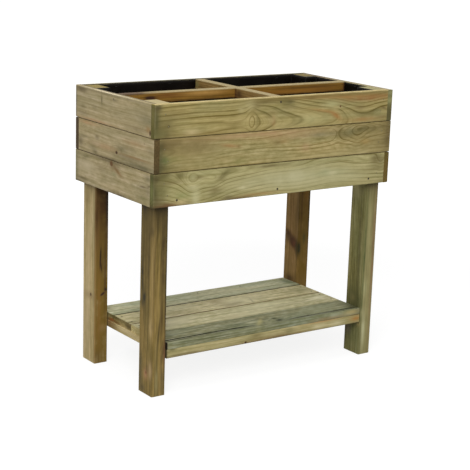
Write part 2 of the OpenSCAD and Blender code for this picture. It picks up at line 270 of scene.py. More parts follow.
def wood(name, along, pith, early, late, stain, lean=(0.0, 0.0), bends=(), boosts=(), knots=(), tints=(),
         end_tone=(0.62, 0.56, 0.44), end=0.75, **look):
    """Softwood cut from one log. along is the axis of its length and pith a point on the log's heart, in mm
    of the row frame. bends are (middle, radii, turn, mm), boosts the same with an amount of contrast, knots
    with a depth of tone, and tints start with a colour and end with a strength, all in the same frame, with
    turn in degrees about each axis."""
    material, tree, shader, place = new_material(name)
    point = vector(tree, "SCALE", place, MM_PER_M)
    look = {**COMMON, **look}

    # The log's own axes: Z along its heart, which leans a little from the timber's length
    heart = Vector((0.0, 0.0, 0.0))
    heart[along] = 1.0
    heart[(along + 1) % 3] = lean[0]
    heart[(along + 2) % 3] = lean[1]
    turn = heart.to_track_quat("Z", "Y").to_euler()
    log = {"Vector": point, "Location": pith, "Rotation": turn}
    grain = node(tree, "Mapping", log, vector_type="TEXTURE").outputs[0]

    def spot(middle, radii, degrees):
        turned = tuple(math.radians(a) for a in degrees)
        sockets = {"Point": point, "Middle": middle, "Radii": radii, "Turn": turned}
        return node(tree, "Group", sockets, node_tree=SPOT).outputs

    pushes, cores = [], []
    for *where, amount in bends:
        pushes.append(calc(tree, "MULTIPLY", spot(*where)["Bump"], amount))
    for middle, radii, degrees, depth in knots:
        square = spot(middle, radii, degrees)["Square"]
        size = max(radii[0] if radii[0] < FAR else radii[1], KNOT_LEAST)
        near = calc(tree, "EXPONENT", calc(tree, "MULTIPLY", square, -KNOT_FALL))
        pushes.append(calc(tree, "MULTIPLY", near, size * KNOT_PUSH))
        cores.append((square, depth))
    bend = pushes[0] if pushes else 0.0
    for push in pushes[1:]:
        bend = calc(tree, "ADD", bend, push)
    for *where, amount in boosts:
        boost = calc(tree, "MULTIPLY", spot(*where)["Bump"], amount)
        look["contrast"] = calc(tree, "ADD", look["contrast"], boost)
    tones = {"Early": rgb(*early), "Late": rgb(*late), "Stain": rgb(*stain)}
    sockets = {"Grain": grain, "Bend": bend, **tones, **{key.title(): value for key, value in look.items()}}
    made = node(tree, "Group", sockets, node_tree=TIMBER).outputs
    tone = made["Color"]
    if tints:
        patchy = vector(tree, "ADD", vector(tree, "SCALE", point, 0.03), (look["seed"], 1.0, 2.0))
        patchy = calc(tree, "MULTIPLY_ADD", noise_of(tree, patchy, 1.0, 3.0), 1.2, 0.35)
    for colour, *where, strength in tints:
        amount = calc(tree, "MULTIPLY", patchy, strength)
        mask = calc(tree, "MULTIPLY", spot(*where)["Bump"], amount, clamp=True)
        tone = mixed(tree, mask, tone, colour)
    for square, depth in cores:
        body = between(tree, square, 1.35, 0.55)
        rim = calc(tree, "MULTIPLY", between(tree, square, 2.6, 1.0), 0.55)
        for part, colour in ((rim, KNOT_RIM), (body, PALE_KNOT if depth < 1.0 else DARK_KNOT)):
            tone = mixed(tree, calc(tree, "MULTIPLY", part, depth, clamp=True), tone, colour)

    # Sawn ends drink more of the treatment and show darker
    lengthwise = tuple(1.0 if i == along else 0.0 for i in (X, Y, Z))
    normal = node(tree, "NewGeometry").outputs["True Normal"]
    facing = calc(tree, "ABSOLUTE", vector(tree, "DOT_PRODUCT", normal, lengthwise, out="Value"))
    ends = calc(tree, "MULTIPLY", between(tree, facing, 0.8, 0.95), end)
    tone = mixed(tree, ends, tone, (*end_tone, 1.0), "MULTIPLY")
    cover(tree, shader, tone, made["Rough"], made["Height"], GRAIN_BUMP, GRAIN_HIGH)
    shader.inputs["Specular IOR Level"].default_value = 0.3
    return material


def dress(name, material):
    piece = NODES[name]
    piece.data.materials.clear()
    piece.data.materials.append(material)
    for polygon in piece.data.polygons:
        polygon.material_index = 0


# Tones of the treated softwood, as 0 to 255

TAN, TAN_LATE = (170, 154, 98), (96, 80, 18)
GREY_TAN, GREY_LATE = (173, 157, 118), (130, 114, 68)
STRAW = (184, 174, 128)
GREEN = (140, 136, 90)
PINK = (178, 142, 104)
RUST = (166, 116, 62)
OLIVE = (104, 96, 52)
UMBER = (70, 48, 22)
SEAM = (96, 78, 44)
SHADE = (30, 26, 16)
# The next colour is painted shade: the shadow in the narrow gap between the front left leg and the shelf's
# board ends
GAP_SHADE = (40, 30, 16)
# The next colour is painted shade: the dark inside the drying cracks of the shelf's front board
CRACK_SHADE = (44, 46, 26)
DIRT = (72, 72, 44)


# Soft spots in the wood, with lengths in mm and turns in degrees

def box(x, y, z, wide, deep, tall):
    """A place anywhere, with its three radii."""
    return (x, y, z), (wide, deep, tall), (0.0, 0.0, 0.0)


def face(axis, level, deep=FAR):
    """Places on the plane that looks along axis at that level, and as deep as said."""
    def place(a, b, wide, tall, turn=0.0):
        middle, radii, turns = [a, b], [wide, tall], [0.0, 0.0]
        middle.insert(axis, level)
        radii.insert(axis, deep)
        turns.insert(axis, turn)
        return middle, radii, turns
    return place


# Faces of the box, the shelf and the legs. Spots on a leg stay this near to its surface
SKIN = 4
front = face(Y, edge("wall_front_mid", Y))
left = face(X, edge("wall_left_mid", X))
upper = face(Z, SHELF_TOP)
lip = face(Y, edge("shelf_board_front", Y), 3)
batten = face(Y, edge("shelf_rail_front", Y))
cleat = face(X, edge("shelf_cleat_left", X))
fore, aft = face(Y, FORE, SKIN), face(Y, AFT, SKIN)
west, east = face(X, WEST, SKIN), face(X, EAST, SKIN)


def spots(*items):
    """Soft spots for wood. A face, or box, holds for the rows after it. A row is an amount and the numbers
    of its place."""
    made = []
    for item in items:
        if callable(item):
            place = item
        else:
            made.append((*place(*item[1:]), item[0]))
    return made


def stains(*items):
    """The same with a colour: a row is red, green, blue, the strength and the numbers of its place."""
    colours = [rgb(*item[:3]) for item in items if not callable(item)]
    found = spots(*(item if callable(item) else item[3:] for item in items))
    return [(colour, *spot) for colour, spot in zip(colours, found)]


# The box: the boards of its front and its left end. The three front boards' pith, lean, phase and bends
# weren't chosen by hand: a least-squares fit gave them, from ring lines read off the photograph

FLAT = dict(wander=0.0, uneven=0.0, end=1.0)
GREY = dict(early=GREY_TAN, late=GREY_LATE)
SEEN_WALLS = {
    "wall_front_top": dict(
        pith=(0.0, -169.9, 733.4), lean=(0.0469, 0.0), spacing=10.0, phase=-2.1, seed=1.3, streak=0.9,
        mottle=0.4, swirl=5.0, contrast=1.25, fine=0.2, early=TAN, late=TAN_LATE, stain=GREEN,
        stained=0.4, end_tone=(0.6, 0.6, 0.32), **FLAT,
        bends=spots(
            front, (13.8, -95, 742, 14, 40), (12, -14, 784, 103, 25), (4.8, 189, 736, 27, 18),
            (-16.4, 320, 788, 233, 21), (7.5, -81, 747, 54, 85), (-16.5, 220, 802, 242, 12),
            (7, -249, 760, 173, 89), (9.4, -96, 725, 234, 89), (-17.5, 287, 762, 75, 48),
            (5, -290, 718, 130, 14),
        ),
        boosts=spots(
            front, (-0.9, -235, 733, 110, 9), (-0.8, 240, 728, 26, 22), (-0.6, -118, 738, 22, 24),
            (-0.4, 66, 733, 24, 14), (-0.9, 24, 713, 44, 8),
        ),
        knots=spots(front, (0.9, 210, 762, 2.6, 2.4)),
        tints=stains(
            front, (190, 178, 128, 0.6, -98, 782, 22, 16), (178, 174, 122, 0.5, 110, 732, 70, 16),
            (184, 178, 126, 0.7, 178, 770, 26, 9), (150, 108, 60, 0.5, -22, 734, 6, 16),
            (168, 112, 56, 0.7, 194, 738, 22, 7, 30), (*RUST, 0.5, 150, 753, 40, 4, 10),
            (168, 128, 72, 0.9, 250, 788, 150, 6, 2), (142, 108, 58, 0.8, 345, 787, 50, 6, 2),
            (142, 96, 48, 0.7, 305, 779, 80, 7), (158, 122, 70, 0.7, 300, 720, 60, 7),
            (134, 106, 54, 0.3, -250, 715, 120, 5), (108, 96, 52, 0.8, -370, 745, 34, 26),
            (112, 98, 54, 0.45, -345, 772, 60, 12), (100, 84, 44, 0.7, -372, 716, 26, 12),
            (100, 88, 46, 0.8, -46, 790, 50, 8), (84, 76, 40, 0.8, 32, 785, 18, 9),
            (*UMBER, 0.5, 374, 748, 12, 4, 18), (60, 48, 22, 1.3, -359, 741, 2.6, 2.6),
            (120, 128, 92, 0.4, 350, 738, 16, 10), (*OLIVE, 0.35, -78, 738, 6, 22),
            (92, 88, 50, 0.9, -398, 755, 13, 60), (104, 104, 62, 0.6, -385, 722, 24, 12),
            (92, 92, 60, 0.7, 394, 726, 8, 26), (84, 74, 42, 0.8, -391, 790, 13, 12),
            (104, 94, 52, 0.5, -388, 730, 13, 26), (130, 108, 58, 0.9, 170, 794, 200, 6),
            (132, 116, 66, 0.6, -92, 764, 10, 12), (180, 168, 118, 0.6, -131, 771, 12, 8),
            (178, 162, 108, 0.6, 192, 757, 14, 8), (178, 164, 112, 0.5, 20, 719, 50, 7),
            (104, 94, 50, 0.6, 10, 788, 18, 12), (112, 98, 56, 0.5, 34, 768, 26, 6),
            (200, 180, 132, 0.6, -285, 722, 22, 7), (114, 96, 52, 0.6, 282, 754, 24, 7),
            (184, 166, 114, 0.6, -26, 738, 14, 12), (110, 94, 50, 0.5, -79, 782, 14, 12),
            (72, 68, 34, 0.6, -395, 748, 6, 20), (122, 104, 58, 0.6, -27, 758, 14, 6),
            (110, 90, 44, 0.5, 108, 793, 22, 6),
            box, (154, 144, 112, 0.6, -402, -202, 768, 3, 9, 30),
            front, (112, 94, 50, 0.6, 368, 723, 26, 6), (104, 90, 48, 0.4, 382, 711, 14, 5),
            (116, 96, 46, 0.6, 356, 797, 22, 5),
        ),
    ),
    "wall_front_mid": dict(
        pith=(0.0, -178.0, 677.4), lean=(0.0061, 0.0), spacing=8.0, phase=8.4, seed=2.9, streak=1.0,
        mottle=0.9, swirl=2.5, contrast=0.85, fine=0.22, early=(174, 157, 104), late=(104, 86, 22),
        stain=GREEN, stained=0.4, end_tone=(0.3, 0.3, 0.3), **FLAT,
        bends=spots(
            front, (11.6, 279, 688, 29, 69), (12.4, 238, 693, 182, 22), (11.7, 311, 698, 40, 12),
            (8.2, -374, 658, 28, 34), (-9.5, 205, 686, 19, 26), (5.6, -127, 672, 244, 13),
            (10, -340, 675, 143, 61), (5, -242, 655, 54, 24), (6.1, 82, 672, 84, 40),
        ),
        boosts=spots(
            front, (1.5, 285, 688, 46, 22), (-0.7, 182, 686, 22, 18), (1.3, 214, 692, 10, 14),
            (-0.7, -260, 656, 60, 8),
        ),
        tints=stains(
            front, (*PINK, 0.6, -100, 701, 270, 8), (*PINK, 0.4, 60, 688, 110, 9),
            (168, 118, 72, 0.7, -164, 677, 26, 5, 8), (122, 100, 54, 0.7, -136, 674, 7, 5),
            (166, 138, 88, 0.6, 14, 676, 18, 6), (148, 134, 84, 0.6, -300, 665, 100, 60),
            (136, 122, 76, 0.6, 335, 660, 70, 60), (*PINK, 0.4, 92, 654, 16, 14),
            (112, 112, 82, 0.5, 150, 686, 50, 7), (92, 86, 44, 0.6, 288, 690, 28, 9, -10),
            (112, 106, 64, 0.4, 228, 686, 22, 14, 30), (110, 122, 92, 0.3, 250, 688, 16, 12),
            (170, 140, 80, 0.6, 310, 655, 18, 8), (74, 92, 48, 0.9, -372, 652, 18, 16),
            (76, 68, 36, 1.1, -382, 688, 22, 14), (106, 90, 50, 0.75, -346, 692, 54, 18),
            (100, 92, 46, 0.75, -366, 630, 44, 13), (118, 104, 60, 0.5, -345, 670, 30, 12),
            (62, 62, 36, 0.8, -383, 640, 10, 40), (126, 124, 70, 0.5, -340, 655, 26, 8),
            (122, 124, 66, 0.5, -130, 630, 34, 7), (96, 80, 44, 0.8, 394, 664, 16, 60),
            (184, 168, 116, 0.7, 165, 626, 180, 6), (114, 98, 58, 0.6, -262, 682, 60, 22),
            (104, 92, 50, 0.5, 228, 682, 50, 13), (96, 86, 46, 0.6, 320, 692, 50, 9),
            (104, 92, 50, 0.5, 370, 694, 26, 11), (56, 54, 22, 1, -391, 630, 8, 14),
            (116, 100, 54, 0.6, -6, 674, 16, 8), (188, 174, 124, 0.6, 301, 623, 20, 6),
            (108, 96, 54, 0.4, 378, 652, 24, 18), (100, 94, 64, 0.6, 399, 703, 6, 14),
            (86, 80, 44, 0.5, -383, 662, 10, 50), (84, 78, 42, 0.7, -374, 632, 16, 10),
        ),
    ),
    "wall_front_low": dict(
        pith=(0.0, -105.9, 655.5), lean=(0.0035, 0.0), spacing=8.0, phase=89.0, seed=4.1, streak=0.9,
        mottle=0.4, swirl=2.5, contrast=0.9, fine=0.3, early=(178, 168, 116), late=(100, 88, 20),
        stain=(146, 142, 94), stained=0.45, end_tone=(0.64, 0.69, 0.44), **FLAT,
        bends=spots(
            front, (6.4, -210, 580, 26, 19), (8, -285, 575, 27, 47), (-8.7, 202, 561, 97, 68),
            (10.6, -97, 596, 231, 23), (22.2, -260, 551, 85, 60), (5.3, 318, 595, 98, 12),
            (-5.3, -26, 563, 65, 58), (-3.5, 33, 587, 162, 12), (7.7, 373, 606, 14, 38),
        ),
        tints=stains(
            front, (190, 184, 142, 0.8, 60, 572, 190, 26), (190, 184, 138, 0.8, -270, 545, 13, 24),
            (184, 178, 130, 0.7, -279, 600, 12, 8), (104, 98, 52, 0.45, -214, 548, 30, 9, -8),
            (*OLIVE, 0.8, -176, 604, 20, 7, -25), (*OLIVE, 0.9, -318, 609, 18, 10),
            (126, 132, 74, 0.5, -310, 555, 26, 9), (98, 84, 46, 0.8, -24, 611, 60, 4),
            (182, 172, 122, 0.7, 6, 602, 70, 6), (164, 134, 82, 0.8, -60, 536, 70, 4),
            (138, 148, 104, 0.4, 180, 575, 60, 10), (106, 92, 54, 0.6, 368, 602, 26, 12, 24),
            (78, 48, 24, 1.4, -372, 530, 50, 6), (92, 84, 44, 0.9, -374, 612, 30, 12),
            (112, 88, 50, 0.7, -374, 536, 36, 8), (112, 94, 58, 1, -130, 530, 60, 6),
            (76, 72, 38, 0.95, -399, 572, 18, 60), (108, 102, 58, 0.9, -374, 580, 20, 40),
            (110, 88, 56, 0.5, 386, 533, 22, 5), (116, 104, 60, 0.6, 352, 594, 22, 12),
            (188, 182, 136, 0.6, 215, 556, 110, 14), (178, 166, 118, 0.6, 310, 537, 80, 6),
            (72, 62, 32, 0.7, -394, 606, 12, 10), (112, 84, 50, 0.9, -340, 532, 44, 6),
            (96, 82, 50, 0.6, -382, 545, 18, 10), (116, 104, 62, 0.6, -350, 592, 50, 6),
            (114, 102, 58, 0.5, 362, 574, 36, 9), (200, 182, 130, 0.7, -318, 537, 20, 7),
            (112, 102, 58, 0.5, -190, 590, 16, 9), (208, 200, 156, 0.6, 193, 574, 16, 8),
            (206, 198, 154, 0.6, -119, 559, 14, 6), (118, 106, 62, 0.6, -258, 599, 18, 5),
            (208, 200, 156, 0.6, -281, 574, 16, 7), (118, 106, 62, 0.6, -208, 560, 22, 9),
            (104, 94, 60, 0.6, -167, 536, 16, 7),
            box, (138, 134, 94, 0.9, -402, -202, 571, 3, 9, 24),
            front, (106, 94, 50, 0.5, 348, 605, 14, 5),
        ),
    ),
    "wall_left_top": dict(
        pith=(-330.0, 0.0, 800.0), seed=5.7, contrast=0.55, swirl=5.0, streak=1.05, mottle=0.5,
        stain=(150, 140, 106), stained=0.4, **GREY,
        knots=spots(left, (1, -189, 723, 3, 7)),
        tints=stains(
            left, (152, 116, 70, 0.7, -180, 730, 12, 9), (*PINK, 0.7, 90, 714, 90, 4),
            (112, 108, 74, 0.6, -188, 752, 14, 9), (112, 102, 68, 0.8, -6, 784, 14, 3.5),
            (108, 98, 64, 0.8, 64, 776, 4.5, 14), (118, 108, 72, 0.5, 102, 750, 14, 6),
            (112, 102, 66, 0.6, 170, 744, 18, 6), (96, 90, 72, 0.9, 208, 755, 5, 60),
            (104, 92, 64, 1, 180, 792, 32, 10), (112, 100, 70, 0.5, 172, 726, 36, 7),
            (122, 110, 78, 0.8, 20, 797, 180, 5), (122, 114, 80, 0.6, -160, 757, 34, 18),
            (122, 108, 76, 0.6, -126, 724, 56, 8),
        ),
    ),
    "wall_left_mid": dict(
        pith=(-345.0, 0.0, 650.0), seed=6.4, contrast=0.65, swirl=6.0, streak=1.15, mottle=0.6,
        stain=(148, 138, 104), stained=0.4, end_tone=(0.23, 0.18, 0.09), end=1.0, **GREY,
        bends=spots(left, (7, -18, 648, 30, 20)),
        knots=spots(left, (1, -19, 645, 5, 3.6)),
        tints=stains(
            left, (90, 84, 56, 0.8, -140, 626, 80, 7), (150, 114, 72, 0.75, -115, 645, 70, 3.5),
            (*PINK, 0.5, 40, 650, 60, 9), (*PINK, 0.4, -110, 684, 60, 8),
            (190, 144, 100, 0.5, 140, 702, 50, 5), (104, 92, 64, 0.8, 182, 646, 18, 14),
            (106, 98, 64, 0.6, -44, 658, 28, 10), (112, 106, 74, 0.5, 112, 638, 22, 9),
            (104, 96, 68, 0.5, 160, 662, 30, 3), (98, 86, 58, 0.8, 20, 621, 90, 4),
            (114, 102, 70, 0.6, -84, 640, 100, 7), (118, 106, 74, 0.5, -92, 664, 24, 7),
            (196, 180, 144, 0.6, -23, 686, 26, 7), (112, 104, 72, 0.5, -192, 676, 20, 8),
            (108, 98, 66, 0.6, 88, 670, 12, 8), (106, 96, 64, 0.7, 98, 628, 16, 5),
            (196, 174, 142, 0.5, 90, 652, 28, 5),
        ),
    ),
    "wall_left_low": dict(
        pith=(-340.0, 0.0, 560.0), spacing=6.5, seed=7.7, contrast=0.45, swirl=7.0, streak=0.95,
        mottle=0.7, stain=(146, 138, 104), stained=0.45, **GREY,
        bends=spots(left, (14, 8, 610, 40, 30), (5, -150, 576, 26, 10)),
        knots=spots(left, (0.9, 8, 610, 7, 6.5)),
        tints=stains(
            left, (126, 92, 50, 0.95, -20, 597, 28, 5.5, 24), (128, 108, 66, 0.4, -8, 596, 26, 14),
            (86, 70, 42, 0.9, -156, 576, 14, 3, -6), (86, 72, 42, 0.7, -190, 583, 10, 3, -20),
            (116, 110, 66, 0.7, -150, 546, 42, 8), (130, 136, 96, 0.4, -6, 583, 14, 6),
            (110, 96, 62, 0.35, 70, 590, 34, 10), (98, 88, 56, 0.8, 170, 541, 36, 5),
            (108, 100, 66, 0.5, 150, 606, 18, 4), (94, 96, 66, 0.6, 206, 580, 11, 60),
            (192, 176, 142, 0.8, 146, 580, 50, 14), (92, 84, 58, 0.9, 196, 530, 34, 6),
            (98, 86, 58, 1, -30, 530, 62, 6), (94, 82, 54, 0.9, 20, 615, 90, 5),
            (114, 98, 66, 0.6, -6, 604, 36, 8), (104, 96, 64, 0.7, -184, 602, 16, 9),
            (106, 96, 66, 0.5, -184, 568, 12, 14),
        ),
    ),
}


def hidden_walls():
    """The boards of the back and the right end, with grain and knots drawn from a seed."""
    ends = {
        "wall_right_top": ((0.34, 0.34, 0.24), 1.0), "wall_right_low": ((0.37, 0.3, 0.11), 1.0),
        "wall_back_mid": ((0.16, 0.12, 0.09), 1.0),
    }
    rng = random.Random(11)
    boards = {}
    for side, along in (("back", X), ("right", Y)):
        for level in ("low", "mid", "top"):
            name = f"wall_{side}_{level}"
            low, high = (MM_PER_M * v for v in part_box(name))
            middle = (edge(name, Z) + edge(name, Z, end=True)) / 2
            off = rng.uniform(-22.0, 22.0)
            depth = rng.uniform(45.0, 80.0)
            pith = (0.0, high.y - depth, middle + off) if along == X else (high.x - depth, 0.0, middle + off)
            outside = face(Y, high.y) if along == X else face(X, high.x)
            knots = []
            for _ in range(rng.choice((1, 2, 2, 3)) if along == X else rng.choice((0, 1, 2))):
                where, size = rng.uniform(low[along] + 50, high[along] - 50), rng.uniform(3.0, 8.0)
                rise = rng.uniform(-26.0, 26.0)
                knots.append((*outside(where, middle + rise, size * 1.3, size), rng.choice((0.8, 0.9, 1.0))))
            tone, share = ends.get(name, ((0.5, 0.44, 0.32), 0.8))
            boards[name] = dict(
                pith=pith, knots=knots, spacing=rng.uniform(5.5, 7.5), seed=rng.uniform(10.0, 90.0),
                contrast=rng.uniform(0.5, 0.85), lean=(rng.uniform(-0.02, 0.02), rng.uniform(-0.03, 0.03)),
                early=rng.choice((TAN, STRAW, GREY_TAN)), late=TAN_LATE, stain=GREEN,
                stained=rng.uniform(0.4, 0.7), end_tone=tone, end=share,
            )
    return boards


def rim_stains():
    """The arrises at the rim: pale where they are planed, dark behind, next to the liner."""
    arris = RIM + 0.4
    return {
        "wall_back_top": stains(box, (*SHADE, 1.4, 0, 195, RIM, FAR, 6, 2.5)),
        "wall_front_top": stains(box, (184, 166, 116, 1, 0, 0, arris, FAR, FAR, 2)),
        "wall_right_top": stains(
            box, (150, 138, 108, 1.2, 0, 0, arris, FAR, FAR, 2),
            (236, 232, 190, 0.9, 394, -210, 792, 20, 8, 9), (236, 232, 184, 0.9, 394, -210, 770, 20, 8, 11),
            (134, 124, 84, 0.8, 394, -210, 730, 20, 8, 20), (112, 98, 78, 1, 393, 120, RIM, 30, 90, 4),
        ),
        "wall_left_top": stains(
            box, (154, 140, 104, 1, 0, 0, arris, FAR, FAR, 2),
            (214, 200, 168, 1.1, -401.5, 30, arris, 4.5, 110, 2.5),
            (120, 106, 72, 0.9, -391, -165, arris, 6, 60, 2.5),
            (50, 45, 33, 1.4, -388, 50, arris, 5, 90, 2.5), (70, 60, 40, 1.1, -385, 0, RIM, 5, FAR, 2.5),
        ),
    }


def wall_materials():
    """The twelve boards of the box."""
    half_gap = 0.5
    levels = [edge(f"wall_front_{level}", Z) - half_gap for level in ("mid", "top")]
    seams = stains(box, *((*SEAM, 0.7, 0, 0, level, FAR, FAR, 1.8) for level in levels))
    rims = rim_stains()
    for name, facts in {**SEEN_WALLS, **hidden_walls()}.items():
        along = X if "front" in name or "back" in name else Y
        look = {**facts, "tints": facts.get("tints", []) + rims.get(name, []) + seams}
        dress(name, wood(name, along, **look))


# The legs

LEGS = {
    "leg_front_left": dict(
        pith=(-330.0, -240.0, 0.0), spacing=7.0, seed=21.0, wander=12.0, swirl=4.0, lean=(0.006, -0.008),
        contrast=0.8, fine=0.3, streak=2.2, mottle=0.6, early=(148, 124, 66), late=(66, 50, 18),
        stain=(100, 88, 42),
        bends=spots(face(Y, FORE, 30), (6, -366, 120, 12, 60), (-6, -372, 470, 9, 60)),
        tints=stains(
            # Darker towards the top: painted shade under the box, together with the treatment's darker tone
            box, (74, 60, 28, 0.75, -364, -158, 545, FAR, FAR, 110),
            west, (80, 66, 28, 0.7, -150, 400, 26, 160), (40, 34, 14, 0.9, -136, 330, 6, 70, -2),
            (40, 36, 16, 1.1, -147, 270, 8, 18),
            # Painted shade just under the box
            fore, (60, 48, 18, 1.1, -364, 528, 60, 44),
            west, (170, 144, 90, 0.9, -187, 330, 7, 120), (62, 50, 24, 0.7, -167, 380, 5, 90),
            fore, (86, 70, 32, 0.8, -384, 350, 5, 120), (158, 134, 76, 0.7, -366, 250, 6, 100),
            west, (182, 156, 104, 1, -182, 192, 8, 24), (182, 154, 110, 1, -182, 72, 9, 22),
            # Painted shade just under the box
            (50, 40, 18, 0.8, -142, 518, 12, 26),
            fore, (150, 138, 92, 0.8, -371, 42, 5, 40), (84, 66, 30, 0.7, -357, 215, 4, 60),
            (108, 92, 56, 0.7, -354, 46, 8, 50),
            west, (112, 98, 66, 0.6, -134, 60, 10, 60),
            fore, (150, 130, 80, 0.5, -374, 130, 5, 45, 3), (150, 126, 74, 0.6, -374, 280, 3, 40, -3),
            (58, 44, 18, 0.8, -356, 380, 7, 150), (58, 48, 20, 0.9, -346, 300, 3.5, 260),
            (54, 44, 20, 0.8, -366, 180, 3, 40, 4), (122, 80, 54, 0.9, -347, 116, 3, 30),
            west, (176, 132, 92, 1, -160, 58, 9, 14), (116, 60, 34, 1, -162, 62, 3, 4),
            (70, 64, 32, 0.7, -132, 60, 8, 60),
            fore, (76, 58, 28, 0.6, -353, 130, 8, 26), (78, 62, 28, 0.5, -354, 188, 8, 20),
            west, (106, 88, 50, 0.5, -190, 198, 9, 14), (96, 78, 46, 0.5, -168, 72, 14, 18),
            (72, 58, 26, 0.5, -182, 457, 10, 14), (64, 56, 28, 0.6, -138, 254, 8, 14),
            (74, 64, 38, 0.6, -146, 14, 12, 12),
        ),
    ),
    "leg_front_right": dict(
        pith=(330.0, -250.0, 0.0), spacing=6.5, seed=23.0, swirl=7.0, lean=(0.01, 0.014),
        contrast=1.1, fine=0.5, streak=2.2, mottle=0.5, early=(140, 132, 82), late=(68, 64, 30),
        stain=(102, 104, 60),
        tints=stains(
            fore, (158, 148, 100, 0.75, 364, 250, 60, 500), (76, 84, 42, 0.9, 346, 300, 4, 300),
            (176, 172, 124, 0.8, 355, 208, 6, 32), (112, 104, 62, 0.5, 370, 480, 20, 26),
            (112, 98, 62, 0.6, 372, 410, 5, 40), (92, 88, 46, 0.5, 357, 250, 2, 120),
            (160, 154, 106, 0.6, 356, 420, 4, 90), (132, 106, 72, 0.9, 378, 300, 5, 220),
            # The dark spot at z 530 is painted shade just under the box
            (104, 90, 68, 1.2, 385, 260, 1.6, 300), (76, 64, 32, 0.8, 364, 530, 60, 34),
            east, (86, 92, 48, 0.7, -156, 90, 30, 90), (54, 54, 42, 0.8, -124, 60, 5, 70),
            # Painted highlight: the greenish-white streak low on the front face's left arris
            fore, (192, 190, 146, 0.9, 356, 72, 6, 46),
            # The pale spot at z 506 is painted light, which lifts the shade just under the box
            east, (182, 174, 128, 1.1, -143, 506, 22, 28), (56, 58, 26, 0.8, -156, 166, 40, 32),
            (60, 54, 26, 0.6, -171, 340, 6, 160), (120, 112, 84, 1.2, -138, 72, 13, 18),
            (128, 122, 78, 0.6, -168, 509, 12, 14),
            fore, (102, 90, 58, 0.5, 375, 329, 6, 30),
            east, (150, 134, 84, 0.7, -184, 96, 9, 9), (128, 118, 74, 0.6, -153, 169, 12, 14),
            fore, (174, 168, 122, 0.5, 351, 131, 8, 14),
        ),
    ),
    "leg_back_left": dict(
        pith=(-330.0, 90.0, 0.0), spacing=7.0, seed=25.0, swirl=7.0, lean=(-0.012, 0.012),
        contrast=0.9, fine=0.3, streak=1.8, mottle=0.6, early=(188, 168, 118), late=(140, 118, 70),
        stain=(156, 140, 96), stained=0.4,
        bends=spots(face(Y, AFT, 20), (9, -359, 208, 10, 26)),
        knots=spots(west, (1, 147, 203, 3.4, 4.2), aft, (1, -360, 207, 8, 3.6, -30)),
        tints=stains(
            # The second spot darkens the face towards the top: painted shade under the box, together with the
            # treatment's darker tone
            aft, (118, 94, 34, 1.15, -364, 260, 60, 600), (66, 42, 6, 1.3, -364, 560, 60, 185),
            (36, 22, 6, 1.2, -347, 470, 5, 80), (24, 14, 4, 2.2, -368, 314, 2, 24, 3),
            (30, 18, 6, 1.6, -366, 290, 2, 14, -8), (146, 104, 50, 0.5, -372, 170, 6, 110),
            (132, 98, 50, 0.6, -377, 400, 5, 80), (70, 48, 18, 0.9, -352, 280, 4, 120),
            (44, 30, 12, 1, -349, 219, 6, 5, 30),
            west, (140, 126, 86, 0.7, 130, 330, 6, 240), (136, 118, 80, 0.7, 158, 540, 40, 40),
            (208, 184, 142, 0.5, 165, 190, 14, 190), (200, 176, 134, 0.4, 158, 350, 12, 60),
            (140, 110, 62, 0.7, 124, 250, 4, 400),
            aft, (70, 46, 10, 0.8, -381, 445, 8, 80), (88, 66, 28, 0.6, -375, 17, 12, 20),
            (66, 44, 10, 0.5, -361, 300, 7, 24),
            west, (112, 92, 56, 0.5, 171, 480, 14, 26),
            aft, (142, 114, 66, 0.8, -359, 106, 10, 12),
            west, (124, 100, 62, 0.5, 152, 200, 34, 12),
        ),
    ),
    "leg_back_right": dict(
        pith=(330.0, 95.0, 0.0), spacing=7.0, seed=27.0, swirl=5.0, lean=(0.0, -0.008),
        contrast=0.9, fine=0.3, streak=1.9, mottle=0.7, early=(174, 140, 86), late=(108, 78, 38),
        stain=(138, 106, 58),
        bends=spots(face(X, EAST, 30), (9, 140, 270, 30, 16, 35)),
        tints=stains(
            east, (92, 64, 26, 1.1, 172, 295, 26, 12, 36), (76, 44, 16, 1.6, 147, 274, 24, 18, 42),
            (104, 54, 34, 0.9, 143, 268, 7, 9), (40, 36, 4, 1.5, 128, 258, 8, 20),
            (50, 44, 12, 0.9, 126, 238, 5, 14), (166, 134, 84, 0.6, 140, 440, 14, 110),
            (112, 88, 46, 0.5, 160, 190, 30, 50),
            aft, (112, 86, 22, 1, 364, 300, 60, 600), (84, 56, 14, 0.8, 352, 420, 4, 110),
            (136, 94, 34, 0.7, 368, 470, 7, 80), (70, 54, 20, 0.9, 382, 400, 5, 140),
            (70, 66, 26, 0.8, 366, 290, 6, 18), (40, 38, 6, 1.4, 346, 258, 7, 20),
            east, (92, 74, 36, 0.6, 129, 400, 8, 160),
            box, (118, 92, 46, 0.4, 364, 158, 150, FAR, FAR, 30),
            # Painted shade just under the box
            (70, 62, 30, 0.4, 364, 158, 540, FAR, FAR, 30),
            east, (60, 42, 14, 0.7, 157, 154, 30, 12), (64, 46, 26, 0.6, 179, 281, 12, 14),
        ),
    ),
}
# The legs' sawn tops, and the shade on them beside the liner
SAWN = {
    "leg_front_left": (172, 158, 118), "leg_front_right": (154, 148, 108),
    "leg_back_left": (130, 114, 58), "leg_back_right": (116, 102, 52),
}
SHADED = {
    "leg_front_right": [(EAST, 0, LEG_TOP, 6, FAR, 4)],
    "leg_back_right": [(EAST, 0, LEG_TOP, 6, FAR, 4), (0, AFT, LEG_TOP, FAR, 12, 4)],
    "leg_back_left": [(0, AFT, LEG_TOP, FAR, 6, 4)],
}


def leg_materials():
    for name, facts in LEGS.items():
        top = stains(box, (*SAWN[name], 1.2, 0, 0, LEG_TOP, FAR, FAR, 3))
        shade = stains(box, *((*SHADE, 1.3, *place) for place in SHADED.get(name, ())))
        look = {**facts, "tints": facts["tints"] + top + shade}
        dress(name, wood(name, Z, end_tone=(0.98, 0.95, 0.85), end=0.6, **look))


